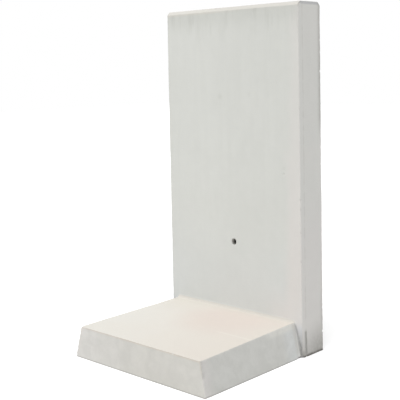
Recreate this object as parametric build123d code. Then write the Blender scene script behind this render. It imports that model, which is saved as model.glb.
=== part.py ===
from build123d import *
import os
from math import dist, radians, tan

# L-shaped retaining wall block, cast in one piece of concrete: an upright stem, and a foot that
# reaches out from the stem's lower end. Millimetres, with the ground at z = 0. The origin is the
# middle of the ground that the block covers. The foot points towards -Y, and +Y is the wall's
# visible face.

# Stem
stem_height = 800.0
stem_thickness = 80.0
stem_width_at_ground = 415.0
stem_width_at_top = 405.0
stem_arris = 1.5  # flat that breaks the upright corners and the ends of the top
top_chamfer_foot_side = 8.0
top_chamfer_far_side = 8.0

# Foot. Its top falls towards the tip, and its sides lean in as they rise.
foot_reach = 322.0  # from the stem's face to the tip, along the ground
foot_height_at_stem = 79.8
foot_height_at_tip = 73.4
foot_tip_lean = 5.8  # how far the tip's top edge is set back from its ground edge
foot_width_at_stem = 404.0  # along the ground
foot_width_at_tip = 413.5  # along the ground
foot_side_lean = 12.8  # degrees from upright
foot_arris = 1.5
junction_radius = 7.0  # fillet between the foot's top and the stem's face

# Hole through the stem
hole_diameter = 14.0
hole_height = 246.0  # centre above the ground
hole_offset = 6.0  # centre from mid-width, towards +X

# Seam that the mould leaves on each side of the stem: a groove that runs out as it rises
seam_set_back = 14.0  # from the stem's face on the foot side
seam_height = 68.0
seam_width = 6.0  # at the ground
seam_depth = 5.0  # at the ground

# An edge whose highest point is under this height lies on the ground
ground_band = 1.0

# Where the main faces lie
far_face = (foot_reach + stem_thickness) / 2
stem_face = far_face - stem_thickness
foot_tip = stem_face - foot_reach


def stem_half_width(height):
    """Half the stem's width at a height above the ground."""
    share = height / stem_height
    return (stem_width_at_ground * (1 - share) + stem_width_at_top * share) / 2


def trim_sides(body, width_at_stem, width_at_tip, lean):
    """Cuts both sides of a body to planes that lean in as they rise.

    The widths are along the ground: at the stem's face, and at the foot's tip.
    The lean is the run for each millimetre of rise.
    """
    for side in (-1, 1):
        start = Vector(side * width_at_stem / 2, stem_face, 0)
        along = Vector(side * width_at_tip / 2, foot_tip, 0) - start
        up = Vector(-side * lean, 0, 1)
        plane = Plane(origin=start, x_dir=along, z_dir=side * up.cross(along))
        body = split(body, bisect_by=plane, keep=Keep.BOTTOM)
    return body


def off_ground(edge):
    """True for an edge that doesn't lie flat on the ground."""
    return edge.bounding_box().max.Z > ground_band


def side_edges(body):
    """The edges round the body's two sides, apart from those on the ground."""
    faces = body.faces().sort_by(Axis.X)
    return [edge for face in (faces[0], faces[-1]) for edge in face.edges() if off_ground(edge)]


def make_stem():
    """The upright slab, a little narrower at the top, with its top and corners broken."""
    profile = Polygon(
        (stem_face, 0),
        (far_face, 0),
        (far_face, stem_height - top_chamfer_far_side),
        (far_face - top_chamfer_far_side, stem_height),
        (stem_face + top_chamfer_foot_side, stem_height),
        (stem_face, stem_height - top_chamfer_foot_side),
        align=None,
    )
    slab = extrude(Plane.YZ * profile, amount=stem_width_at_ground + stem_width_at_top, both=True)
    lean = (stem_width_at_ground - stem_width_at_top) / 2 / stem_height
    slab = trim_sides(slab, stem_width_at_ground, stem_width_at_ground, lean)
    return chamfer(side_edges(slab), stem_arris)


def make_foot():
    """The foot, with its root carried into the middle of the stem."""
    root = stem_thickness / 2
    fall = (foot_height_at_stem - foot_height_at_tip) / (foot_reach - foot_tip_lean)
    profile = Polygon(
        (foot_tip, 0),
        (stem_face + root, 0),
        (stem_face + root, foot_height_at_stem + fall * root),
        (foot_tip + foot_tip_lean, foot_height_at_tip),
        align=None,
    )
    foot = extrude(Plane.YZ * profile, amount=foot_width_at_stem + foot_width_at_tip, both=True)
    foot = trim_sides(foot, foot_width_at_stem, foot_width_at_tip, tan(radians(foot_side_lean)))
    rim = side_edges(foot) + list(foot.edges().filter_by(Axis.X).filter_by(off_ground))
    return chamfer([edge for edge in rim if edge.center().Y < stem_face], foot_arris)


def junction_edge(block):
    """The inner corner where the foot's top meets the stem's face."""
    corner = Vector(0, stem_face, foot_height_at_stem)
    return block.edges().filter_by(Axis.X).sort_by(lambda edge: (edge.center() - corner).length)[0]


def make_hole():
    """The round hole, straight through the stem."""
    bar = Cylinder(hole_diameter / 2, 2 * stem_thickness)
    return Pos(hole_offset, far_face - stem_thickness / 2, hole_height) * Rot(90, 0, 0) * bar


def make_seam(side):
    """One seam: a groove with a steep wall on the foot side, cut in from the stem's side.

    The cutter is twice as deep and wide as the groove, so that it starts clear of the side.
    """
    front = stem_face + seam_set_back
    root = stem_half_width(0) - seam_depth
    groove = Polygon(
        (side * root, front),
        (side * (root + 2 * seam_depth), front),
        (side * (root + 2 * seam_depth), front + 2 * seam_width),
        align=None,
    )
    run_out = stem_half_width(seam_height) - root
    length = dist((0, 0), (run_out, seam_height))
    return extrude(groove, amount=length, dir=(side * run_out, 0, seam_height))


def make_block():
    block = make_stem() + make_foot()
    block = fillet(junction_edge(block), junction_radius)
    block -= make_hole()
    for side in (-1, 1):
        block -= make_seam(side)
    return block


os.makedirs("parts", exist_ok=True)
export_step(make_block().solid(), "parts/wall_block.step")
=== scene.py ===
from math import cos, radians, sin, tan

import bmesh
import bpy
import numpy as np
from mathutils import Matrix, Vector


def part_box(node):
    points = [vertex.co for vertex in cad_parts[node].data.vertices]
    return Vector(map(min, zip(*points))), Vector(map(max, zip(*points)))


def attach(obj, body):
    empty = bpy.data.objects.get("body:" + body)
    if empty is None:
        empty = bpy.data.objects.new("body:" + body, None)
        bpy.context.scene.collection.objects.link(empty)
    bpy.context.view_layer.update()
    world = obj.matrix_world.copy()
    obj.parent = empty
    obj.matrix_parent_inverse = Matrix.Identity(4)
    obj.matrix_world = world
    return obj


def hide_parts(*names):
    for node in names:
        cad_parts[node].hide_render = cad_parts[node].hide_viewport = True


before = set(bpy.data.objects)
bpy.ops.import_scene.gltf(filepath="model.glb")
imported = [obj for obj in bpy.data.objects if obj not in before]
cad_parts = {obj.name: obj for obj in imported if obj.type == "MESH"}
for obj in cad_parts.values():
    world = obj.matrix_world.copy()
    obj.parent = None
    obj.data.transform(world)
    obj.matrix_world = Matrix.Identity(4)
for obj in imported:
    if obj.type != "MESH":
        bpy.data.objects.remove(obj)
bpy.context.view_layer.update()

MM = 0.001

# The block's own sizes, in metres. The overall ones come from the frame.
lowest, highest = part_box("wall_block")
stem_height = highest.z
stem_width_at_ground = highest.x - lowest.x
far_face = highest.y
foot_tip = lowest.y
stem_thickness = 80 * MM
stem_width_at_top = 405 * MM
top_chamfer_foot_side = 8 * MM
top_chamfer_far_side = 8 * MM
stem_face = far_face - stem_thickness
foot_reach = stem_face - foot_tip
foot_height_at_stem = 79.8 * MM
foot_height_at_tip = 73.4 * MM
foot_tip_lean = 5.8 * MM
foot_width_at_stem = 404 * MM
foot_width_at_tip = 413.5 * MM
foot_side_lean = tan(radians(12.8))
junction_radius = 7 * MM
hole_radius = 7 * MM
hole_height = 246 * MM
hole_offset = 6 * MM
seam_set_back = 14 * MM
seam_height = 68 * MM
seam_width = 6 * MM
seam_depth = 5 * MM

# Wear
arris_softness = 1.2 * MM  # usual radius of a worn arris
# How much that radius varies, over what length, and the seed
arris_variation = ((0.45, 45 * MM, 11), (0.25, 11 * MM, 12))
least_wear = 0.4  # as a share of the usual radius
most_wear = 2.2
toe_wear = 1.6  # added at the foot's near corner on the ground, where it is roundest
toe_wear_reach = 45 * MM
side_corner_softness = 1.2 * MM  # radius where the foot's sides meet the stem, just under its top
side_corner_at_ground = 5 * MM  # the same radius at the ground, where cement filled the corner
cut_lip = 0.6 * MM  # radius of the hole's mouth, the seams' rims and the edge on the ground
face_unevenness = 0.25 * MM
unevenness_size = 160 * MM
unevenness_seed = 5

# Chips, with sizes in millimetres. Each is a rough ball taken out of the block.
small_chip_count = 60
small_chip_seed = 27
small_chip_size = (2.5, 6.0)
small_chip_depth = (0.3, 0.5)  # as a share of the size
small_chip_place = (0.02, 0.98)  # how far along an arris, so that they stay off its ends
chip_roughness = 0.13
chip_grain = 4 * MM
chip_seed = 31
chip_reach = 1.5  # how far from a chip's centre it can bite, in chip sizes
# The way out of the block, the size and the depth of the larger chips on three corners
left_top_chip = ((-0.6, -0.6, 0.5), 6, 2)
crown_chip = ((0.85, -0.35, 0.35), 7, 3)
heel_chip = ((0.5, -0.4, -0.75), 15, 6)
# How far down the foot's near corner, the size and the depth
near_corner_chips = ((0.05, 8, 2.6), (0.13, 7, 2.4), (0.21, 8, 2.6), (0.31, 6, 1.2), (0.46, 6, 1.0))
near_corner_way_out = (0.8, -0.6, 0.1)
same_arris = 1 * MM  # a chip this close to the stem's near face is on its near arris
# How far up the stem's far arris, and the size
far_arris_chips = ((0.905, 3.5), (0.87, 4), (0.60, 4), (0.13, 5), (0.06, 6))
far_arris_way_out = (0.8, 0.6, 0)
far_arris_chip_depth = 0.4  # as a share of the size

# The small hole that an air bubble left in the stem's near face
air_hole = np.array([159.6 * MM, stem_face, 418.4 * MM])
air_hole_size = 4.5 * MM
air_hole_depth = 1.1 * MM

# Cutters
hole_segments = 40
wedge_overshoot = 0.1  # how far a seam's wedge goes past both ends of its groove, as a share
wedge_reach = 3  # how far it goes out past the side, in seam depths and widths

# Mesh
coarse_cell = 12 * MM
longest_edge = 1.5 * coarse_cell
fine_cell = 2.0 * MM
fine_band = 5 * MM  # distance from an arris within which the cells stay fine
cell_growth = 0.35  # how much longer a cell may be for each metre further from the band
edge_allowance = 1.45  # an edge is halved when it is this many times too long
halving_rounds = 6
cutting_gap = 0.001 * MM  # a vertex this close to a cut is left on it
merge_gap = 0.05 * MM  # vertices this close together become one
squeezed = 0.06 * MM  # a triangle lower than this is evened out
folded = 0.35  # and so is one that turns this far from its neighbours, 1 being level with them
settled = 0.002 * MM  # a point this close to the surface stays
least_slope = 0.4  # keeps a step short where the distance hardly changes


# Shape: the block is described by its flat faces, and the mesh is settled onto them

def flat(normal, point):
    """A flat face, as its outward unit normal and how far out it lies along that normal."""
    normal = np.array(normal, float)
    normal /= np.linalg.norm(normal)
    return normal, float(normal @ np.array(point, float))


stem_lean = (stem_width_at_ground - stem_width_at_top) / 2 / stem_height
foot_fall = (foot_height_at_stem - foot_height_at_tip) / (foot_reach - foot_tip_lean)
foot_spread = (foot_width_at_tip - foot_width_at_stem) / 2 / foot_reach

ground = flat((0, 0, -1), (0, 0, 0))
stem_faces = {
    "near": flat((0, -1, 0), (0, stem_face, 0)),
    "far": flat((0, 1, 0), (0, far_face, 0)),
    "left": flat((-1, 0, stem_lean), (-stem_width_at_ground / 2, 0, 0)),
    "right": flat((1, 0, stem_lean), (stem_width_at_ground / 2, 0, 0)),
    "top": flat((0, 0, 1), (0, 0, stem_height)),
    "near_chamfer": flat((0, -1, 1), (0, stem_face, stem_height - top_chamfer_foot_side)),
    "far_chamfer": flat((0, 1, 1), (0, far_face, stem_height - top_chamfer_far_side)),
}
foot_faces = {
    "top": flat((0, -foot_fall, 1), (0, stem_face, foot_height_at_stem)),
    "tip": flat((0, -foot_height_at_tip, foot_tip_lean), (0, foot_tip, 0)),
    "left": flat((-1, foot_spread, foot_side_lean), (-foot_width_at_stem / 2, stem_face, 0)),
    "right": flat((1, foot_spread, foot_side_lean), (foot_width_at_stem / 2, stem_face, 0)),
    "root": flat((0, 1, 0), (0, far_face - stem_thickness / 2, 0)),  # lies inside the stem
}


def meet(*faces):
    """The corner where three flat faces meet."""
    normals = np.array([normal for normal, _ in faces])
    return np.linalg.solve(normals, np.array([out for _, out in faces]))


def stem_corner(side, *others):
    return meet(stem_faces[side], *others)


def foot_corner(side, *others):
    return meet(foot_faces[side], *others)


# A ripple is a sum of waves. These bring it to about -1 to 1, over the size that is asked for.
ripple_waves = 12
ripple_tightness = 3.6
ripple_spread = 1.4
ripple_height = 0.75
full_turn = 6.283


def ripple(points, size, seed):
    """A smooth random field, mostly between -1 and 1, that changes over about the given size."""
    random = np.random.default_rng(seed)
    turns = random.normal(size=(ripple_waves, 3)) * ripple_tightness / size
    starts = random.uniform(0, full_turn, ripple_waves)
    waves = np.sin(points @ turns.T + starts).sum(axis=1)
    return waves * (ripple_spread / ripple_waves) ** 0.5 * ripple_height


def outside(points, faces):
    """How far each point lies outside each face. Inside is negative."""
    return np.stack([points @ normal - out for normal, out in faces], axis=1)


def rounded(distances, radius):
    """How far a point is outside all the faces together, with their arrises rounded to the radius."""
    near = np.maximum(distances + radius[:, None], 0)
    return np.minimum(-radius, distances.max(axis=1)) + np.sqrt((near ** 2).sum(axis=1))


def filleted(first, second, radius):
    """Two solids joined, with a fillet in the inner corner."""
    near = np.maximum(radius - first, 0) ** 2 + np.maximum(radius - second, 0) ** 2
    return np.maximum(radius, np.minimum(first, second)) - np.sqrt(near)


def smooth_step(value, start, end):
    share = np.clip((value - start) / (end - start), 0, 1)
    return share * share * (3 - 2 * share)


def closeness(gap, reach):
    """1 where the gap is nothing, easing to 0 where it is the reach or more."""
    return 1 - smooth_step(np.abs(gap), 0, reach)


def arris_radius(points):
    """How round an arris is worn at each place. The near corner of the foot is the roundest."""
    wear = 1
    for share, size, seed in arris_variation:
        wear = wear + share * ripple(points, size, seed)
    near_toe = foot_corner("right", foot_faces["tip"], ground)
    from_toe = np.linalg.norm(points - near_toe, axis=1)
    at_toe = toe_wear * closeness(from_toe, toe_wear_reach)
    return arris_softness * (np.clip(wear, least_wear, most_wear) + at_toe)


def hole_distance(points):
    return np.hypot(points[:, 0] - hole_offset, points[:, 2] - hole_height) - hole_radius


def seam_distance(points):
    """How far each point is outside the nearer of the two seam grooves."""
    across = np.abs(points[:, 0])
    root = stem_width_at_ground / 2 - seam_depth
    run_out = (seam_depth - stem_lean * seam_height) / seam_height
    behind_wall = points[:, 1] - stem_face - seam_set_back
    slope = seam_depth / seam_width
    floor = (root + run_out * points[:, 2] + behind_wall * slope - across) / (1 + slope ** 2) ** 0.5
    return np.maximum(-behind_wall, floor)


def whole_block(points):
    """The block as it left the mould, with soft arrises and no chips."""
    radius = arris_radius(points)
    stem = rounded(outside(points, stem_faces.values()), radius)
    foot = rounded(outside(points, foot_faces.values()), radius)
    above = smooth_step(points[:, 2], foot_height_at_stem - junction_radius, foot_height_at_stem)
    low_down = 1 - smooth_step(points[:, 2], 0, foot_height_at_stem)
    corner = side_corner_softness + (side_corner_at_ground - side_corner_softness) * low_down
    corner = corner + (junction_radius - corner) * above
    block = filleted(stem, foot, corner)
    hollows = np.clip(ripple(points, unevenness_size, unevenness_seed), -1, 1)
    block = block + face_unevenness * (0.5 + 0.5 * hollows)
    for cut in (outside(points, [ground])[:, 0], -hole_distance(points), -seam_distance(points)):
        block = rounded(np.stack([block, cut], axis=1), np.full(len(points), cut_lip))
    return block


def arris(first, second, *faces):
    """An arris where these faces meet: its two ends, and the way out of the block."""
    way_out = sum(normal for normal, _ in faces)
    return first, second, way_out / np.linalg.norm(way_out)


def all_arrises():
    """The arrises that chips are taken from: all but those on the ground under the tip and the stem."""
    found = []
    for side in ("left", "right"):
        stem_side, foot_side = stem_faces[side], foot_faces[side]
        for face, chamfer in (("near", "near_chamfer"), ("far", "far_chamfer")):
            foot_of_it = stem_corner(side, stem_faces[face], ground)
            head = stem_corner(side, stem_faces[face], stem_faces[chamfer])
            crown = stem_corner(side, stem_faces["top"], stem_faces[chamfer])
            found.append(arris(foot_of_it, head, stem_side, stem_faces[face]))
            found.append(arris(head, crown, stem_side, stem_faces[chamfer]))
        root = foot_corner(side, foot_faces["top"], stem_faces["near"])
        tip = foot_corner(side, foot_faces["top"], foot_faces["tip"])
        toe = foot_corner(side, foot_faces["tip"], ground)
        heel = foot_corner(side, stem_faces["near"], ground)
        found.append(arris(root, tip, foot_side, foot_faces["top"]))
        found.append(arris(tip, toe, foot_side, foot_faces["tip"]))
        found.append(arris(heel, toe, foot_side, ground))
    for group, first, second in (
        (foot_faces, "top", "tip"),
        (stem_faces, "near", "near_chamfer"),
        (stem_faces, "top", "near_chamfer"),
        (stem_faces, "top", "far_chamfer"),
        (stem_faces, "far", "far_chamfer"),
    ):
        ends = [meet(group[side], group[first], group[second]) for side in ("left", "right")]
        found.append(arris(*ends, group[first], group[second]))
    return found


def chip_at(spot, way_out, size, depth):
    """A chip as a ball that bites into the arris: its centre and radius."""
    return np.array(spot) + np.array(way_out) * (size - depth), size


def on_clean_arris(spot):
    """True on the stem's near left arris, which has no chips."""
    return spot[0] < 0 and abs(spot[1] - stem_face) < same_arris and spot[2] > foot_height_at_stem


def small_chips():
    """Small chips, scattered along the arrises."""
    random = np.random.default_rng(small_chip_seed)
    arrises = all_arrises()
    lengths = np.array([np.linalg.norm(end - start) for start, end, _ in arrises])
    found = []
    for which in random.choice(len(arrises), small_chip_count, p=lengths / lengths.sum()):
        start, end, way_out = arrises[which]
        spot = start + (end - start) * random.uniform(*small_chip_place)
        size = random.uniform(*small_chip_size) * MM
        depth = size * random.uniform(*small_chip_depth)
        if not on_clean_arris(spot):
            found.append(chip_at(spot, way_out, size, depth))
    return found


def noticed_chips():
    """The larger chips that are easy to see, by the corner they are on, and the air hole."""
    near_top = foot_corner("right", foot_faces["top"], foot_faces["tip"])
    near_toe = foot_corner("right", foot_faces["tip"], ground)
    left_top = foot_corner("left", foot_faces["top"], foot_faces["tip"])
    head = stem_corner("right", stem_faces["near"], stem_faces["near_chamfer"])
    crown = stem_corner("right", stem_faces["top"], stem_faces["near_chamfer"])
    heel = stem_corner("right", stem_faces["near"], ground)
    far_low = stem_corner("right", stem_faces["far"], ground)
    far_high = stem_corner("right", stem_faces["far"], stem_faces["far_chamfer"])
    found = [chip_at(air_hole, (0, -1, 0), air_hole_size, air_hole_depth)]
    corners = ((left_top, left_top_chip), ((head + crown) / 2, crown_chip), (heel, heel_chip))
    for spot, (way_out, size, depth) in corners:
        found.append(chip_at(spot, way_out, size * MM, depth * MM))
    for share, size, depth in near_corner_chips:
        spot = near_top * (1 - share) + near_toe * share
        found.append(chip_at(spot, near_corner_way_out, size * MM, depth * MM))
    for share, size in far_arris_chips:
        spot = far_high * share + far_low * (1 - share)
        found.append(chip_at(spot, far_arris_way_out, size * MM, size * far_arris_chip_depth * MM))
    return found


chips = noticed_chips() + small_chips()


def chipped_block(points):
    """The block with its chips: each is a rough ball taken out of it."""
    block = whole_block(points)
    order = np.argsort(points[:, 2])
    heights = points[order, 2]
    for centre, size in chips:
        reach = chip_reach * size
        first, last = np.searchsorted(heights, (centre[2] - reach, centre[2] + reach))
        near = order[first:last]
        near = near[np.abs(points[near] - centre).max(axis=1) < reach]
        if len(near):
            roughness = 1 + chip_roughness * ripple(points[near], chip_grain, chip_seed)
            bite = size * roughness - np.linalg.norm(points[near] - centre, axis=1)
            block[near] = np.maximum(block[near], bite)
    return block


def settle(points, turns=8, step=0.02 * MM, reach=3 * MM):
    """Moves every point onto the chipped block's surface, a little at a time."""
    points = points.copy()
    moving = np.arange(len(points))
    for _ in range(turns):
        here = chipped_block(points[moving])
        unsettled = np.abs(here) > settled
        moving, here = moving[unsettled], here[unsettled]
        if not len(moving):
            break
        spot = points[moving]
        slope = np.stack([(chipped_block(spot + step * way) - here) / step for way in np.eye(3)], axis=1)
        length = np.maximum(np.linalg.norm(slope, axis=1), least_slope)
        points[moving] = spot - slope * (np.clip(here / length, -reach, reach) / length)[:, None]
    return np.clip(points, lowest, highest)


def to_arris(points):
    """How far each point of the surface is from the nearest arris, and from the inner corner."""
    stem = np.sort(outside(points, [*stem_faces.values(), ground]), axis=1)
    foot = np.sort(outside(points, [*foot_faces.values(), ground]), axis=1)
    on_stem = np.abs(stem[:, -1]) < np.abs(foot[:, -1])
    arris_gap = np.where(on_stem, -stem[:, -2], -foot[:, -2])
    inner_gap = np.where(on_stem, np.abs(foot[:, -1]), np.abs(stem[:, -1]))
    return arris_gap, inner_gap


def wanted_length(points):
    """How long an edge of the mesh may be at each place: short near arrises, corners and cuts."""
    gaps = [*to_arris(points), np.abs(hole_distance(points)), np.abs(seam_distance(points))]
    gaps.append(np.linalg.norm(points - air_hole, axis=1))
    beyond = np.maximum(np.min(gaps, axis=0) - fine_band, 0)
    return np.minimum(fine_cell + cell_growth * beyond, longest_edge)


# Darkening, partly dirt and partly painted shade: how far each mark reaches, and how strong it is,
# from 0 to 1. A pair of values belongs to the two ends that its comment names.
side_skin = 4 * MM  # a point this close to a side of the stem is on it
side_start = 1 * MM  # and this far behind the stem's near face
splash_height = (78 * MM, 93.6 * MM)  # on the stem's sides, at the near and the far arris
splash_strength = (0.22, 0.48)
lowest_line_height = 12 * MM  # the darkest line, at the foot of the stem's sides
ground_line_height = 3.5 * MM  # round the whole block
ground_line_strength = 0.45
far_arris_reach = 15 * MM
far_arris_strength = 0.36
far_arris_clean = (210 * MM, 480 * MM)  # the heights between which the far arris is clean
far_arris_fade = 80 * MM  # how far above those the dirt takes to come back in full
chamfer_edge_width = 1.5 * MM  # at the ends of the near top chamfer
chamfer_edge_reach = 5 * MM  # from the chamfer's face
chamfer_edge_strength = 0.5
# Painted shade in the crease between the stem's face and the foot's sides
crease_skin = 2 * MM  # a point this close to the stem's near face is on it
crease_start = 7 * MM  # how far below the foot's top the crease beside it darkens
crease_set_off = 1.8 * MM  # from the foot's side, under its top
crease_slant = 0.1  # how much further off for each metre lower
crease_width = 4 * MM
crease_widening = 0.11  # how much wider for each metre lower
crease_strength = 0.8  # at the ground
crease_fading = 5  # how much less for each metre up
crease_low_height = 80 * MM  # the part of the stem's face beside the foot, in painted shade from the ground up
crease_low_strength = 0.72
# Painted shade and dirt in the seam grooves, and a darker edge in front of them
seam_reach = 3 * MM
seam_strength = (0.47, 0.55)  # at the ground and at the groove's upper end
seam_fade = (11 * MM, 2 * MM)  # how far below its upper end a seam's darkening starts and stops fading
seam_edge_set_off = 2 * MM  # the edge in front of the seam: how far in front
seam_edge_reach = 4.5 * MM
seam_edge_strength = 0.48
# Painted shade in and round the hole
hole_rim_width = 1 * MM  # round the hole's mouth
hole_rim_above = 1.7 * MM  # added above the hole
hole_rim_left = 0.6 * MM  # added on its left
hole_rim_range = (2 * MM, 7 * MM)  # how far from the hole's middle those come in
hole_mouth_strength = 0.2
hole_low_strength = 0.42  # added in the lower part of the hole
hole_low_range = (-1 * MM, 5 * MM)  # how far below its middle that comes in
hole_inner_strength = 0.65  # added inside it
hole_inner_range = (5 * MM, 12 * MM)  # how far from its mouth that comes in
hole_most = 0.9  # the strongest of it all
# Beside the foot's near corner: painted shade of its chips, with some dirt
near_corner_width = (9 * MM, 3.5 * MM)  # beside the foot's near corner, on its side and on its tip
near_corner_range = (38 * MM, 30 * MM)  # how far below the foot's top it starts and is full
near_corner_strength = 0.16
near_corner_variation = 0.07
near_corner_grain = 9 * MM
near_corner_seed = 44
toe_set_off = 4 * MM  # from the stem's face
toe_reach = 16 * MM
toe_height = 34 * MM
toe_strength = 0.7


def between(ends, share):
    """A value on the way from the first end to the second."""
    return ends[0] + (ends[1] - ends[0]) * share


def stem_side_gap(points):
    return outside(points, (stem_faces["left"], stem_faces["right"])).max(axis=1)


def foot_side_gap(points):
    return outside(points, (foot_faces["left"], foot_faces["right"])).max(axis=1)


def on_stem_side(points):
    return closeness(stem_side_gap(points), side_skin) * (points[:, 1] > stem_face + side_start)


def stem_side_marks(points):
    """Marks on the stem's sides: dirt splashed up and along the far arris, and darker at the ground and at
    the toe.
    """
    along, height = points[:, 1], points[:, 2]
    towards_far = smooth_step(along, stem_face, far_face)
    splash = closeness(height, between(splash_height, towards_far)) * between(splash_strength, towards_far)
    lowest_line = closeness(height, lowest_line_height)
    toe = closeness(along - stem_face - toe_set_off, toe_reach) * closeness(height, toe_height)
    upper = smooth_step(height, far_arris_clean[1], far_arris_clean[1] + far_arris_fade)
    upper_or_lowest = upper + closeness(height, far_arris_clean[0])
    far_arris = closeness(far_face - along, far_arris_reach) * upper_or_lowest * far_arris_strength
    marks = (splash, lowest_line, toe * toe_strength, far_arris)
    return [on_stem_side(points) * mark for mark in marks]


def crease_shade(points):
    """Painted shade in the upright crease between the stem's face and the foot's sides, stronger low down."""
    height = points[:, 2]
    below_top = foot_height_at_stem - height
    face_gap = outside(points, (stem_faces["near"],))[:, 0]
    beside_foot = closeness(face_gap, crease_skin) * smooth_step(below_top, 0, crease_start)
    gap = foot_side_gap(points) - crease_set_off - crease_slant * below_top
    crease = closeness(gap, crease_width + crease_widening * below_top)
    crease = crease * (crease_strength - crease_fading * height)
    return [beside_foot * crease, beside_foot * closeness(height, crease_low_height) * crease_low_strength]


def seam_shade_and_dirt(points):
    """Painted shade and dirt in the seams, and a darker edge in front of them."""
    height = points[:, 2]
    seam_end = 1 - smooth_step(height, seam_height - seam_fade[0], seam_height - seam_fade[1])
    strength = between(seam_strength, np.clip(height / seam_height, 0, 1))
    groove = closeness(seam_distance(points), seam_reach) * seam_end * strength
    before_seam = points[:, 1] - stem_face - seam_set_back + seam_edge_set_off
    edge = closeness(before_seam, seam_edge_reach) * seam_end * seam_edge_strength
    return [groove, on_stem_side(points) * edge]


def hole_shade(points):
    """Painted shade in the hole, darker deeper inside and low in it, and on the rim round its mouth."""
    above = points[:, 2] - hole_height
    inside_hole = np.minimum(points[:, 1] - stem_face, far_face - points[:, 1])
    rim = hole_rim_width + hole_rim_above * smooth_step(above, *hole_rim_range)
    rim = rim + hole_rim_left * smooth_step(hole_offset - points[:, 0], *hole_rim_range)
    strength = hole_mouth_strength + hole_low_strength * smooth_step(-above, *hole_low_range)
    strength = strength + hole_inner_strength * smooth_step(inside_hole, *hole_inner_range)
    return closeness(hole_distance(points), rim) * np.clip(strength, 0, hole_most)


def edge_marks_and_shade(points):
    """Darker along the ground line and on the top chamfer's ends, and painted shade with some dirt beside the
    foot's near corner.
    """
    height = points[:, 2]
    ground_line = closeness(height, ground_line_height) * ground_line_strength
    chamfer_gap = outside(points, (stem_faces["near_chamfer"],))[:, 0]
    chamfer_end = closeness(stem_side_gap(points), chamfer_edge_width)
    chamfer_end = chamfer_end * closeness(chamfer_gap, chamfer_edge_reach)
    tip_gap = outside(points, (foot_faces["tip"],))[:, 0]
    side_gap = foot_side_gap(points)
    off_corner = np.maximum(-tip_gap / near_corner_width[0], -side_gap / near_corner_width[1])
    start, full = (foot_height_at_tip - below for below in near_corner_range)
    near_corner = closeness(off_corner, 1) * smooth_step(height, start, full) * (points[:, 0] > 0)
    grain = ripple(points, near_corner_grain, near_corner_seed)
    near_corner = near_corner * (near_corner_strength + near_corner_variation * grain)
    return [ground_line, chamfer_end * chamfer_edge_strength, near_corner]


def soiling_and_shade(points):
    """How far the surface is darkened, from 0 to 1, with dirt and painted shade: in corners, grooves and the
    hole, and near the ground.
    """
    marks = stem_side_marks(points) + crease_shade(points) + seam_shade_and_dirt(points) + edge_marks_and_shade(points)
    return np.clip(np.max([*marks, hole_shade(points)], axis=0), 0, 1)


# Making the mesh

def sharp_block():
    """The block as a closed mesh of flat faces, before anything is rounded."""
    mesh = bmesh.new()
    at = {}
    for side in ("left", "right"):
        near, far, top = stem_faces["near"], stem_faces["far"], stem_faces["top"]
        at["toe", side] = foot_corner(side, foot_faces["tip"], ground)
        at["tip", side] = foot_corner(side, foot_faces["tip"], foot_faces["top"])
        at["root", side] = foot_corner(side, near, foot_faces["top"])
        at["heel", side] = foot_corner(side, near, ground)
        at["near_low", side] = stem_corner(side, near, ground)
        level = flat((0, 0, 1), (0, 0, at["root", side][2]))
        at["near_level", side] = stem_corner(side, near, level)
        at["near_high", side] = stem_corner(side, near, stem_faces["near_chamfer"])
        at["near_top", side] = stem_corner(side, top, stem_faces["near_chamfer"])
        at["far_top", side] = stem_corner(side, top, stem_faces["far_chamfer"])
        at["far_high", side] = stem_corner(side, far, stem_faces["far_chamfer"])
        at["far_low", side] = stem_corner(side, far, ground)
    verts = {key: mesh.verts.new(place) for key, place in at.items()}

    def face(*keys):
        mesh.faces.new([verts[key] for key in keys])

    def band(first, second):
        """A face that runs from the left side to the right one, between two levels."""
        face((first, "left"), (first, "right"), (second, "right"), (second, "left"))

    for side in ("left", "right"):
        outline = ("near_low", "near_level", "near_high", "near_top", "far_top", "far_high", "far_low")
        face(*((name, side) for name in outline))
        face(("near_level", side), ("root", side), ("heel", side), ("near_low", side))
        face(("root", side), ("tip", side), ("toe", side), ("heel", side))
    for pair in (("near_high", "near_top"), ("near_top", "far_top"), ("far_top", "far_high"),
                 ("far_high", "far_low"), ("root", "tip"), ("tip", "toe"), ("toe", "heel")):
        band(*pair)
    face(("near_high", "left"), ("near_high", "right"), ("near_level", "right"),
         ("root", "right"), ("root", "left"), ("near_level", "left"))
    face(("near_low", "left"), ("heel", "left"), ("heel", "right"), ("near_low", "right"),
         ("far_low", "right"), ("far_low", "left"))
    bmesh.ops.recalc_face_normals(mesh, faces=mesh.faces)
    return mesh


def cut_into_cells(mesh):
    """Cuts every face along evenly spaced levels in X, Y and Z."""
    for axis in range(3):
        way = Vector((0, 0, 0))
        way[axis] = 1
        count = round((highest[axis] - lowest[axis]) / coarse_cell)
        for level in np.linspace(lowest[axis], highest[axis], count + 1)[1:-1]:
            everything = mesh.verts[:] + mesh.edges[:] + mesh.faces[:]
            bmesh.ops.bisect_plane(mesh, geom=everything, dist=cutting_gap,
                                   plane_co=way * level, plane_no=way)


def hole_bar():
    """The round bar that the hole is cut with."""
    bar = bmesh.new()
    along = Matrix.Rotation(radians(90), 4, "X")
    middle = Matrix.Translation((hole_offset, far_face - stem_thickness / 2, hole_height))
    bmesh.ops.create_cone(bar, cap_ends=True, segments=hole_segments, radius1=hole_radius,
                          radius2=hole_radius, depth=2 * stem_thickness, matrix=middle @ along)
    return bar


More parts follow.
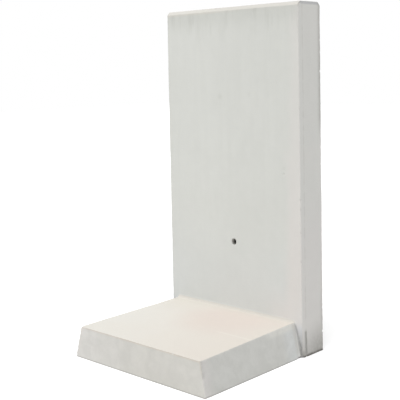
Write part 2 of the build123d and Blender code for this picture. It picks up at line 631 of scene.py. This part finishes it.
def seam_wedge(side):
    """The wedge that one seam groove is cut with. side is 1 for +X and -1 for -X.

    It starts below the ground and ends above the groove, and reaches out past the stem's side.
    """
    wedge = bmesh.new()
    front = stem_face + seam_set_back
    root = stem_width_at_ground / 2 - seam_depth
    run_out = seam_depth - stem_lean * seam_height
    past_side = root + wedge_reach * seam_depth
    corners = ((root, front), (past_side, front), (past_side, front + wedge_reach * seam_width))
    rings = []
    for share in (-wedge_overshoot, 1 + wedge_overshoot):
        height, out = seam_height * share, run_out * share
        rings.append([wedge.verts.new((side * (across + out), along, height)) for across, along in corners])
    wedge.faces.new(rings[0])
    wedge.faces.new(rings[1])
    for here in range(3):
        after = (here + 1) % 3
        wedge.faces.new((rings[0][here], rings[0][after], rings[1][after], rings[1][here]))
    bmesh.ops.recalc_face_normals(wedge, faces=wedge.faces)
    return wedge


def as_object(name, mesh):
    data = bpy.data.meshes.new(name)
    mesh.to_mesh(data)
    mesh.free()
    thing = bpy.data.objects.new(name, data)
    bpy.context.scene.collection.objects.link(thing)
    return thing


def cut_away(body, cutters):
    """Cuts the cutters out of the body for good, and removes them."""
    for cutter in cutters:
        cut = body.modifiers.new("cut", "BOOLEAN")
        cut.operation = "DIFFERENCE"
        cut.solver = "EXACT"
        cut.object = cutter
    finished = bpy.data.meshes.new_from_object(body.evaluated_get(bpy.context.evaluated_depsgraph_get()))
    body.modifiers.clear()
    body.data = finished
    for cutter in cutters:
        bpy.data.objects.remove(cutter)


def halve_long_edges(places, triangles):
    """Halves every edge that is too long for its place, and splits the triangles to suit."""
    sides = np.sort(triangles[:, [[0, 1], [1, 2], [2, 0]]].reshape(-1, 2), axis=1)
    edges, which = np.unique(sides, axis=0, return_inverse=True)
    middles = places[edges].mean(axis=1)
    lengths = np.linalg.norm(places[edges[:, 0]] - places[edges[:, 1]], axis=1)
    too_long = lengths > edge_allowance * wanted_length(middles)
    middle_of = np.full(len(edges), -1)  # the new vertex in the middle of each edge, or -1
    middle_of[too_long] = len(places) + np.arange(too_long.sum())
    halves = middle_of[which.ravel()].reshape(-1, 3)
    cuts = (halves >= 0).sum(axis=1)
    # Each triangle is turned so that its uncut sides come last
    turn = np.where(cuts == 2, (halves < 0).argmax(axis=1) + 1, (halves >= 0).argmax(axis=1))
    order = (np.arange(3) + turn[:, None]) % 3
    a, b, c = np.take_along_axis(triangles, order, axis=1).T
    ab, bc, ca = np.take_along_axis(halves, order, axis=1).T
    places = np.vstack([places, middles[too_long]])
    to_a, to_c = (np.linalg.norm(places[end] - places[half], axis=1) for end, half in ((a, bc), (c, ab)))
    # Which triangles, and what each is split into
    splits = (
        (cuts == 0, ((a, b, c),)),
        (cuts == 1, ((a, ab, c), (ab, b, c))),
        ((cuts == 2) & (to_a < to_c), ((ab, b, bc), (a, ab, bc), (a, bc, c))),
        ((cuts == 2) & (to_a >= to_c), ((ab, b, bc), (a, ab, c), (ab, bc, c))),
        (cuts == 3, ((a, ab, ca), (ab, b, bc), (ca, bc, c), (ab, bc, ca))),
    )
    pieces = [np.stack(corners, axis=1)[rows] for rows, parts in splits for corners in parts]
    return places, np.vstack(pieces)


def sum_at(places, keys, values):
    """Adds up the vectors that belong to each vertex."""
    return np.stack([np.bincount(keys, values[:, axis], len(places)) for axis in range(3)], axis=1)


def ease_folds(places, triangles, turns=12):
    """Evens out the few spots where settling has squeezed the mesh or folded it over."""
    sides = np.sort(triangles[:, [[0, 1], [1, 2], [2, 0]]].reshape(-1, 2), axis=1)
    sides = np.unique(sides, axis=0)
    starts, ends = np.vstack([sides, sides[:, ::-1]]).T
    neighbours = np.bincount(starts, minlength=len(places))
    for _ in range(turns):
        a, b, c = (places[triangles[:, corner]] for corner in range(3))
        facing = np.cross(b - a, c - a)
        doubled_area = np.linalg.norm(facing, axis=1)
        longest = np.linalg.norm([b - a, c - b, a - c], axis=2).max(axis=0)
        way_out = sum_at(places, triangles.ravel(), np.repeat(facing, 3, axis=0))
        way_out /= np.linalg.norm(way_out, axis=1)[:, None]
        agreement = (facing[:, None] * way_out[triangles]).sum(axis=2).min(axis=1)
        poor = (agreement < folded * doubled_area) | (doubled_area < squeezed * longest)
        if not poor.any():
            break
        moved = np.unique(triangles[poor])
        middles = sum_at(places, starts, places[ends])[moved] / neighbours[moved, None]
        places[moved] = settle(middles)
    return places


def add_measure(data, name, values):
    """Keeps one number for each vertex, for the material to read."""
    layer = data.attributes.new(name, "FLOAT", "POINT")
    layer.data.foreach_set("value", np.asarray(values, np.float32))


# Measures that the mesh keeps for the material
rubbed_band = 6 * MM  # how far from an arris its rubbed tone reaches
broken_depth = (0.25 * MM, 1.2 * MM)  # how deep a chip starts to show the inside, and shows it fully


def cast_block():
    """The whole block: cut, refined near its arrises, and settled onto the worn surface."""
    body = as_object("cast_block", sharp_block())
    cutters = [hole_bar(), seam_wedge(-1), seam_wedge(1)]
    cut_away(body, [as_object("cutter", cutter) for cutter in cutters])
    mesh = bmesh.new()
    mesh.from_mesh(body.data)
    cut_into_cells(mesh)
    bmesh.ops.remove_doubles(mesh, verts=mesh.verts, dist=merge_gap)
    bmesh.ops.triangulate(mesh, faces=mesh.faces)
    places = np.array([vert.co[:] for vert in mesh.verts])
    triangles = np.array([[vert.index for vert in face.verts] for face in mesh.faces])
    mesh.free()
    for _ in range(halving_rounds):
        places, triangles = halve_long_edges(places, triangles)
    places = ease_folds(settle(places), triangles)
    data = body.data
    data.clear_geometry()
    data.from_pydata(places.tolist(), [], triangles.tolist())
    arris_gap, _ = to_arris(places)
    add_measure(data, "arris", closeness(arris_gap, rubbed_band))
    add_measure(data, "broken", smooth_step(-whole_block(places), *broken_depth))
    # How dark each vertex is painted, with dirt and with painted shade in corners, grooves and the hole
    add_measure(data, "soiled_and_shaded", soiling_and_shade(places))
    data.shade_smooth()
    return body


# Nodes

def tone(red, green, blue):
    """A colour as seen on a screen, 0 to 255, as Blender's own linear colour."""
    def linear(value):
        share = value / 255
        return share / 12.92 if share <= 0.04045 else ((share + 0.055) / 1.055) ** 2.4
    return linear(red), linear(green), linear(blue), 1.0


def add_node(tree, kind, wires=None, **settings):
    """A node with its settings, and its inputs either linked or set."""
    node = tree.nodes.new(kind)
    for name, value in settings.items():
        setattr(node, name, value)
    for socket, value in (wires or {}).items():
        if isinstance(value, bpy.types.NodeSocket):
            tree.links.new(value, node.inputs[socket])
        else:
            node.inputs[socket].default_value = value
    return node


def work_out(tree, operation, *values):
    return add_node(tree, "ShaderNodeMath", dict(enumerate(values)), operation=operation).outputs[0]


def ramp(tree, value, start, end, low=0.0, high=1.0):
    """A value eased from low to high as the input goes from start to end."""
    wires = {"Value": value, "From Min": start, "From Max": end, "To Min": low, "To Max": high}
    return add_node(tree, "ShaderNodeMapRange", wires, interpolation_type="SMOOTHSTEP").outputs["Result"]


def mix_colour(tree, share, first, second, label=""):
    wires = {0: share, 6: first, 7: second}
    return add_node(tree, "ShaderNodeMix", wires, data_type="RGBA", label=label).outputs[2]


def noise(tree, place, scale, detail, roughness, distortion=0.0):
    """Noise over the place. The scale is one number, or one for each of across, along and up."""
    if isinstance(scale, tuple):
        place = add_node(tree, "ShaderNodeMapping", {"Vector": place, "Scale": scale}).outputs["Vector"]
        scale = 1.0
    wires = {"Vector": place, "Scale": scale, "Detail": detail, "Roughness": roughness}
    return add_node(tree, "ShaderNodeTexNoise", {**wires, "Distortion": distortion}).outputs["Fac"]


def gap_to(tree, place, spot):
    """How far each place is from one spot."""
    return add_node(tree, "ShaderNodeVectorMath", {0: place, 1: spot}, operation="DISTANCE").outputs["Value"]


def gap_between(tree, value, level):
    return work_out(tree, "ABSOLUTE", work_out(tree, "SUBTRACT", value, level))


# Material of the block

# Its colour is laid on in washes. A wash has a tone, from 0 to 255, or two tones that the clouding
# mixes, and the zones that it lies in. A zone names a measure, then says where it starts and ends on
# that measure and how strong the wash is at those two ends. A zone with one number is that many times
# its measure. The strengths of a wash's zones are multiplied. Places are in metres.

# Scale, detail, roughness and distortion of each noise
noises = {
    "cloud noise": (8.0, 4.0, 0.55, 0.4),
    "mottle noise": (42.0, 4.0, 0.6, 0.3),
    "patches": (14.0, 3.0, 0.5),
    "streaks": ((62.0, 62.0, 4.5), 3.0, 0.6),
    "runs": ((88.0, 88.0, 13.0), 3.0, 0.6),
    "blotches": (120.0, 4.0, 0.65),
    "speckle": (900.0, 2.0, 0.6),
    "sand": (700.0, 4.0, 0.7),
    "skin": (60.0, 5.0, 0.6),
}
cloud_range = (0.3, 0.7)  # of the noise, for the clouds and the mottle
wander = 0.04  # how far the washes' edges wander across the block

# Shared zones
sideways = ("faces_side", 0.6, 0.9, 0, 1)
not_sideways = ("faces_side", 0.6, 0.9, 1, 0)
facing_up = ("faces_up", 0.93, 0.99, 0, 1)
upright = ("faces_up", 0.2, 0.5, 1, 0)
not_upright = ("faces_up", 0.2, 0.5, 0, 1)
frontward = ("faces_back", -0.9, -0.7, 1, 0)
on_foot = ("along", stem_face - 2 * MM, stem_face, 1, 0)
low_down = ("height", 0.09, 0.11, 1, 0)
at_stem_top = ("height", stem_height - 0.012, stem_height - 0.008, 0, 1)

# Where the separate marks are
strip_start = 0.155  # the warm strip's inner edge, from the middle, at the ground
strip_narrowing = 0.04  # how much further out for each metre up
top_slant = 0.35  # how far the foot's tones slant, across for each metre along
pinker_patch = (0.045, 0.055, 0.078)
darker_patch = (-0.13, 0.11, 0.08)
trowel_line = -0.032
# Faint marks on the stem's face: across, height, reach in millimetres, and strength
faint_marks = ((-31, 592, 11, 0.16), (159.8, 431.7, 6, 0.14), (60, 597, 9, 0.08))
faint_mark_tone = (174, 175, 168)
faint_mark_core = 1 * MM

stem_tones = ((213, 214, 209), (215, 216, 211))
stem_washes = {
    "darker to the right": (((210, 211, 206), (212, 213, 208)), ("across", -0.12, 0.10, 0, 1)),
    "cooler low down": (((210, 212, 210), (212, 214, 212)), ("height", 0.08, 0.34, 0.9, 0)),
    "mould streaks": ((190, 191, 186), ("streaks", 0.34, 0.66, 0, 1), ("height", 0.25, 0.45, 0.03, 0.07)),
    "warm strip": ((216, 213, 209), ("past_strip", -0.015, 0.017, 0, 1), ("height", 0.2, 0.6, 1, 0.55)),
    "warm low down": ((219, 216, 213), ("across", 0.06, 0.17, 0, 1), ("height", 0.09, 0.17, 0.8, 0)),
    # Painted shade: a darker, cooler tone low on the stem's face beside the foot
    "beside the foot": ((211, 211, 212),
                        ("height", foot_height_at_stem - 15 * MM, foot_height_at_stem + 5 * MM, 1, 0)),
}

faint_mark_washes = {
    f"faint mark {number}": (faint_mark_tone, (f"from_mark_{number}", faint_mark_core, reach * MM, share, 0))
    for number, (_, _, reach, share) in enumerate(faint_marks)
}

side_tones = ((218, 218, 214), (220, 219, 215))
side_washes = {
    "warmer low down": (((219, 217, 214), (221, 219, 215)), ("height", 0.25, 0.42, 1, 0)),
    "joint of the mould": ((176, 173, 166), ("from_joint", 0.5 * MM, 3.5 * MM, 0.2, 0),
                           ("mottle", 0.2, 0.7, 0.3, 1)),
}

tip_tones = ((208, 206, 201), (214, 212, 208))
tip_washes = {
    "darker to the right": (((202, 200, 194), (208, 206, 200)), ("across", -0.10, 0.02, 0, 1)),
    "warm left end": ((217, 214, 210), ("across", -0.20, -0.17, 0.6, 0)),
}

flank_tones = ((202, 202, 198), (209, 209, 205))
flank_washes = {
    # Painted light: a paler, cooler tone on the foot's sides near the stem, lifting the shade of the corner
    # there
    "painted light near the stem": ((217, 219, 218), ("along", stem_face - 60 * MM, stem_face - 25 * MM, 0, 0.9)),
    "warmer near the tip": ((216, 213, 210), ("along", foot_tip + 8 * MM, foot_tip + 40 * MM, 0.8, 0)),
    "pale rim": ((228, 227, 221), ("height", 0.060, 0.073, 0, 0.75),
                 ("along", stem_face - 125 * MM, stem_face - 70 * MM, 0, 1)),
}

mottle_washes = {"mottle": ((172, 172, 167), ("mottle", 1), (*on_foot[:3], 0.21, 0.04))}

# The foot's top faced up as it set
cream_tone = (219, 217, 211)
cream_washes = {
    "pinker to the right": ((212, 203, 194), ("slanting", -0.3, 0.25, 0, 0.75)),
    "clouds": ((216, 211, 201), ("clouds", 0.3)),
    "pinker patch": ((214, 204, 196), ("from_pinker_patch", 0.04, 0.16, 0.95, 0)),
    "darker patch": ((212, 206, 196), ("from_darker_patch", 0.02, 0.12, 0.5, 0)),
    # Painted shade: darker on the foot's top close to the stem, in the corner
    "near the stem": ((206, 202, 193), ("along", stem_face - 34 * MM, stem_face - 8 * MM, 0, 0.4)),
    "trowel line": ((224, 221, 212), ("from_trowel_line", 0.001, 0.005, 0.35, 0),
                    ("across", 0.07, 0.10, 0, 1)),
}

# The fillet takes the cream's colour, fainter and darker: painted shade, so that its upward slope does not
# read brighter than the faces beside it
fillet_shade_washes = {
    "fillet": ((203, 199, 191), ("faces_up", 0.05, 0.5, 0, 0.9), ("faces_up", 0.95, 0.99, 1, 0), low_down,
               ("along", stem_face - 12 * MM, stem_face - 8 * MM, 0, 1)),
}

top_tone = (208, 206, 200)
top_washes = {"darker to the right": ((204, 202, 196), ("across", -0.12, 0.0, 0, 1))}

# A darker band below the stem's top, painted shade under the chamfer, and run-down marks: added together
top_marks_and_shade = (
    (("height", stem_height - 0.065, stem_height - 0.008, 0, 0.22),),
    (("height", stem_height - top_chamfer_foot_side - 7 * MM, stem_height - top_chamfer_foot_side, 0, 0.12),),
    (("runs", 0.44, 0.66, 0, 1), ("patches", 0.32, 0.6, 0, 1),
     ("height", stem_height - 0.10, stem_height - 0.03, 0, 0.2)),
)
below_top_washes = {
    "top marks and painted shade": ((174, 175, 168), ("top_marks_and_shade", 1), upright, not_sideways),
    "warm lip": ((220, 211, 199), ("height", stem_height - 15 * MM, stem_height - 10 * MM, 0, 0.3),
                 ("across", -0.09, 0.05, 1, 0.25), upright, not_sideways),
    "cool band": ((150, 153, 164), ("height", stem_height - 0.009, stem_height - 0.004, 0, 0.4),
                  sideways, upright),
}

# Arrises that face up rub pale, chips show the coarser inside, and dirt and painted shade lie broken up over
# both
wear_washes = {
    "rubbed arris": ((222, 216, 204), ("arris", 1), ("faces_up", 0.15, 0.6, 0, 0.12)),
    "warm edge of the tip": ((190, 168, 140), ("arris", 1), on_foot, frontward,
                             ("height", 0.04, 0.07, 0, 0.3)),
    "inside of a chip": ((172, 165, 158), ("broken", 0.3)),
    "dirt and painted shade": ((98, 96, 88), ("soiled_and_shaded", 1), ("blotches", 0.25, 0.75, 0.8, 1.12)),
    "sand speckle": ((150, 148, 140), ("speckle", 0.3, 0.7, 0, 0.06)),
}

# Relief: how much of it each part makes
sand_relief = 0.10
skin_relief = 0.35
pit_relief = 0.5
broken_relief = 0.8
relief_strength = 0.5
relief_depth = 0.8 * MM
pit_scale = 110.0
pit_range = (0.04, 0.12)  # from a pit's middle to its rim, in its cell's size

# Finish: how rough the skin is, from its lows to its highs, and how much it shines
skin_roughness = (0.3, 0.7, 0.82, 0.94)
skin_shine = 0.25


def wash_strength(tree, at, zones):
    """How strong a wash is at each spot: its zones multiplied."""
    total = None
    for name, *limits in zones:
        if len(limits) == 1:
            share = at[name] if limits[0] == 1 else work_out(tree, "MULTIPLY", at[name], limits[0])
        else:
            share = ramp(tree, at[name], *limits)
        total = share if total is None else work_out(tree, "MULTIPLY", total, share)
    return total


def as_colour(tree, at, tones):
    """One tone as it is, or two tones that the clouding mixes."""
    if isinstance(tones[0], tuple):
        return mix_colour(tree, at["clouds"], tone(*tones[0]), tone(*tones[1]))
    return tone(*tones)


def painted(tree, at, colour, washes):
    """The colour with each wash laid over it in turn."""
    for name, (tones, *zones) in washes.items():
        share = wash_strength(tree, at, zones)
        colour = mix_colour(tree, share, colour, as_colour(tree, at, tones), name)
    return colour


def laid_over(tree, at, under, over, *zones):
    return mix_colour(tree, wash_strength(tree, at, zones), under, over)


def take_measures(tree):
    """Everything that the zones measure on, by name."""
    place = add_node(tree, "ShaderNodeTexCoord").outputs["Object"]
    across, along, height = add_node(tree, "ShaderNodeSeparateXYZ", {"Vector": place}).outputs
    normal = add_node(tree, "ShaderNodeNewGeometry").outputs["Normal"]
    facing = add_node(tree, "ShaderNodeSeparateXYZ", {"Vector": normal}).outputs
    at = {name: noise(tree, place, *settings) for name, settings in noises.items()}
    at.update({name: add_node(tree, "ShaderNodeAttribute", attribute_name=name).outputs["Fac"]
               for name in ("arris", "broken", "soiled_and_shaded")})
    sway = work_out(tree, "MULTIPLY_ADD", at["patches"], wander, -wander / 2)
    at["clouds"] = ramp(tree, at["cloud noise"], *cloud_range)
    at["mottle"] = ramp(tree, at["mottle noise"], *cloud_range)
    at["across"] = work_out(tree, "ADD", across, sway)
    at["along"] = along
    at["height"] = height
    at["faces_side"] = work_out(tree, "ABSOLUTE", facing["X"])
    at["faces_back"] = facing["Y"]
    at["faces_up"] = facing["Z"]
    strip_edge = work_out(tree, "MULTIPLY_ADD", height, strip_narrowing, strip_start)
    at["past_strip"] = work_out(tree, "SUBTRACT", at["across"], strip_edge)
    at["from_joint"] = gap_between(tree, along, stem_face + seam_set_back)
    at["from_trowel_line"] = gap_between(tree, along, trowel_line)
    at["slanting"] = work_out(tree, "MULTIPLY_ADD", along, top_slant, across)
    at["from_pinker_patch"] = work_out(tree, "ADD", gap_to(tree, place, pinker_patch), sway)
    at["from_darker_patch"] = work_out(tree, "ADD", gap_to(tree, place, darker_patch), sway)
    for number, (mark_across, mark_height, _, _) in enumerate(faint_marks):
        at[f"from_mark_{number}"] = gap_to(tree, place, (mark_across * MM, stem_face, mark_height * MM))
    band, shade, runs = (wash_strength(tree, at, zones) for zones in top_marks_and_shade)
    at["top_marks_and_shade"] = work_out(tree, "ADD", work_out(tree, "ADD", band, shade), runs)
    at["place"] = place
    return at


def concrete_colour(tree, at):
    """Clouded, cream where it faced up, darkened in its corners with painted shade and dirt, and worn at its
    arrises.
    """
    stem = painted(tree, at, as_colour(tree, at, stem_tones), {**stem_washes, **faint_mark_washes})
    side = painted(tree, at, as_colour(tree, at, side_tones), side_washes)
    tip = painted(tree, at, as_colour(tree, at, tip_tones), tip_washes)
    flank = painted(tree, at, as_colour(tree, at, flank_tones), flank_washes)
    cream = painted(tree, at, as_colour(tree, at, cream_tone), cream_washes)
    top = painted(tree, at, as_colour(tree, at, top_tone), top_washes)
    stem = laid_over(tree, at, stem, side, sideways)
    foot = laid_over(tree, at, tip, flank, sideways)
    colour = laid_over(tree, at, stem, foot, on_foot)
    colour = painted(tree, at, colour, mottle_washes)
    colour = laid_over(tree, at, colour, cream, facing_up, low_down)
    colour = painted(tree, at, colour, fillet_shade_washes)
    colour = laid_over(tree, at, colour, top, at_stem_top, not_upright)
    return painted(tree, at, colour, {**below_top_washes, **wear_washes})


def concrete_relief(tree, at):
    """The bump of sand grains, the cast skin, small pits and the coarser inside of a chip."""
    pits = add_node(tree, "ShaderNodeTexVoronoi", {"Vector": at["place"], "Scale": pit_scale})
    skin = work_out(tree, "MULTIPLY", at["skin"], skin_relief)
    relief = work_out(tree, "MULTIPLY_ADD", at["sand"], sand_relief, skin)
    off_pits = ramp(tree, pits.outputs["Distance"], *pit_range)
    relief = work_out(tree, "MULTIPLY_ADD", off_pits, pit_relief, relief)
    coarse = work_out(tree, "MULTIPLY", at["sand"], at["broken"])
    relief = work_out(tree, "MULTIPLY_ADD", coarse, broken_relief, relief)
    wires = {"Height": relief, "Strength": relief_strength, "Distance": relief_depth}
    return add_node(tree, "ShaderNodeBump", wires).outputs["Normal"]


def new_material(name):
    material = bpy.data.materials.new(name)
    material.use_nodes = True
    material.node_tree.nodes.clear()
    return material, material.node_tree


def cast_concrete():
    """Pale cast concrete, matt and smooth from the mould."""
    material, tree = new_material("cast_concrete")
    at = take_measures(tree)
    shader = add_node(tree, "ShaderNodeBsdfPrincipled", {
        "Base Color": concrete_colour(tree, at),
        "Roughness": ramp(tree, at["skin"], *skin_roughness),
        "Normal": concrete_relief(tree, at),
        "Specular IOR Level": skin_shine,
    })
    add_node(tree, "ShaderNodeOutputMaterial", {"Surface": shader.outputs[0]})
    return material


block = cast_block()
block.data.materials.clear()
block.data.materials.append(cast_concrete())
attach(block, "root")
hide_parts("wall_block")


# Camera, as the photograph was taken
picture_size = 400  # pixels, square
focal_length = 858.45  # pixels
optical_centre = (200, 180)  # pixels from the left and from the top
sensor_width = 36.0  # millimetres
camera_turn = radians(43.711)
camera_height_angle = radians(7.1325)
camera_roll = radians(-1.2783)
camera_distance = 2.0431  # metres from the point that it aims at
aim_height = 0.3944  # that point's height, on the stem's near face
aim_to_right = -0.07381  # and how far it lies to the picture's right of the middle


def place_camera():
    data = bpy.data.cameras.new("camera")
    data.sensor_width = sensor_width
    data.lens = focal_length / picture_size * sensor_width
    data.shift_x = (picture_size / 2 - optical_centre[0]) / picture_size
    data.shift_y = (optical_centre[1] - picture_size / 2) / picture_size
    back = Vector((sin(camera_turn) * cos(camera_height_angle),
                   -cos(camera_turn) * cos(camera_height_angle), sin(camera_height_angle)))
    right = Vector((cos(camera_turn), sin(camera_turn), 0))
    up = back.cross(right)
    rolled_right = right * cos(camera_roll) + up * sin(camera_roll)
    rolled_up = up * cos(camera_roll) - right * sin(camera_roll)
    aim = Vector((0, stem_face, aim_height)) + rolled_right * aim_to_right
    turn = Matrix((rolled_right, rolled_up, back)).transposed().to_4x4()
    camera = bpy.data.objects.new("camera", data)
    camera.matrix_world = Matrix.Translation(aim + back * camera_distance) @ turn
    bpy.context.scene.collection.objects.link(camera)
    bpy.context.scene.camera = camera


# Light: a soft sky, and one broad high light from the foot's side
white = (1, 1, 1, 1)
sky_strength = 0.6
sky_as_seen = 1.0  # to the camera and in reflections, so that it shows as white
high_light_strength = 2.05
high_light_spread = radians(50)
high_light_from = (0.02, -0.29, 0.58)

# Floor
floor_size = 12.0
floor_drop = 0.1 * MM  # below the ground, so that it clears the block
floor_tone = (225, 225, 225)
floor_show = 0.42  # how much the floor adds to what the camera sees, so that it reads as white


def seen_rays(tree):
    """1 for what the camera sees, itself or in a reflection, and 0 for the light on the block."""
    rays = add_node(tree, "ShaderNodeLightPath").outputs
    return work_out(tree, "MAXIMUM", rays["Is Camera Ray"], rays["Is Glossy Ray"])


def light_the_scene():
    world = bpy.data.worlds.new("sky")
    bpy.context.scene.world = world
    world.use_nodes = True
    tree = world.node_tree
    tree.nodes.clear()
    brightness = ramp(tree, seen_rays(tree), 0.0, 1.0, sky_strength, sky_as_seen)
    background = add_node(tree, "ShaderNodeBackground", {"Color": white, "Strength": brightness})
    add_node(tree, "ShaderNodeOutputWorld", {"Surface": background.outputs[0]})
    data = bpy.data.lights.new("high_light", "SUN")
    data.energy = high_light_strength
    data.angle = high_light_spread
    lamp = bpy.data.objects.new("high_light", data)
    lamp.matrix_world = Vector(high_light_from).to_track_quat("Z", "Y").to_matrix().to_4x4()
    bpy.context.scene.collection.objects.link(lamp)


def lay_floor():
    mesh = bmesh.new()
    level = Matrix.Translation((0, 0, -floor_drop))
    bmesh.ops.create_grid(mesh, x_segments=1, y_segments=1, size=floor_size, matrix=level)
    floor = as_object("floor", mesh)
    material, tree = new_material("pale_floor")
    diffuse = add_node(tree, "ShaderNodeBsdfDiffuse", {"Color": tone(*floor_tone)})
    glow_strength = work_out(tree, "MULTIPLY", seen_rays(tree), floor_show)
    glow = add_node(tree, "ShaderNodeEmission", {"Color": white, "Strength": glow_strength})
    both = add_node(tree, "ShaderNodeAddShader", {0: diffuse.outputs[0], 1: glow.outputs[0]})
    add_node(tree, "ShaderNodeOutputMaterial", {"Surface": both.outputs[0]})
    floor.data.materials.append(material)


place_camera()
light_the_scene()
lay_floor()
bpy.context.scene.view_settings.view_transform = "Standard"
